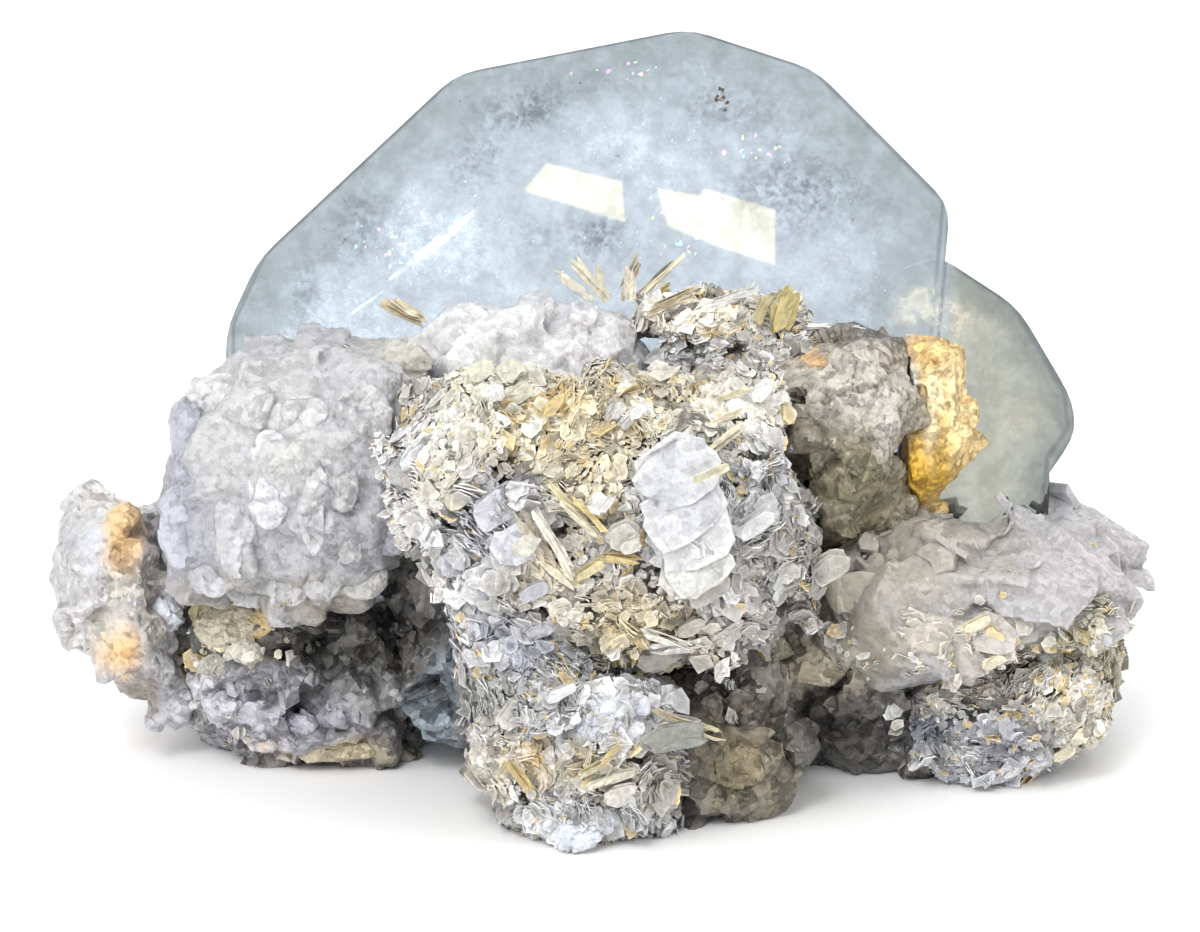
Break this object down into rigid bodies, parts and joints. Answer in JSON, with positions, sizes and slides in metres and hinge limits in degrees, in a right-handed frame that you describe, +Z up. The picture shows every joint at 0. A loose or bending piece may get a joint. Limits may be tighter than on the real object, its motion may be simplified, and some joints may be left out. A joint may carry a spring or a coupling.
{
  "type": "aquamarine on muscovite",
  "caption": "Mineral specimen: a pale blue tabular aquamarine crystal leaning back in a matrix of feldspar, quartz and books of muscovite mica.",
  "frame": {"origin": "bottom centre of the whole specimen, on the plane that it stands on", "axes": "+Z up, +X to the right and +Y to the back as seen from the front of the specimen, where the large crystal leans back behind the mica"},
  "size_m": [0.0904, 0.0544, 0.0599],
  "materials": {
    "aquamarine": "clear pale blue crystal with flat faces and white veils inside",
    "feldspar": "pale grey granular, slightly translucent",
    "quartz": "brownish grey, glassy",
    "iron_stain": "orange iron stain on rock, dull",
    "mica": "silvery white to pale gold flakes, pearly",
    "matrix": "darker grey rock, rough"
  },
  "bodies": {
    "root": {"aquamarine": "aquamarine", "feldspar_left": "feldspar", "feldspar_crest": "feldspar", "feldspar_right": "feldspar", "quartz_block": "quartz", "stained_ledge": "iron_stain", "stained_knob": "iron_stain", "matrix_base": "matrix", "muscovite_centre": "mica", "muscovite_foot": "mica", "muscovite_right": "mica", "muscovite_crest": "mica"}
  },
  "joints": []
}
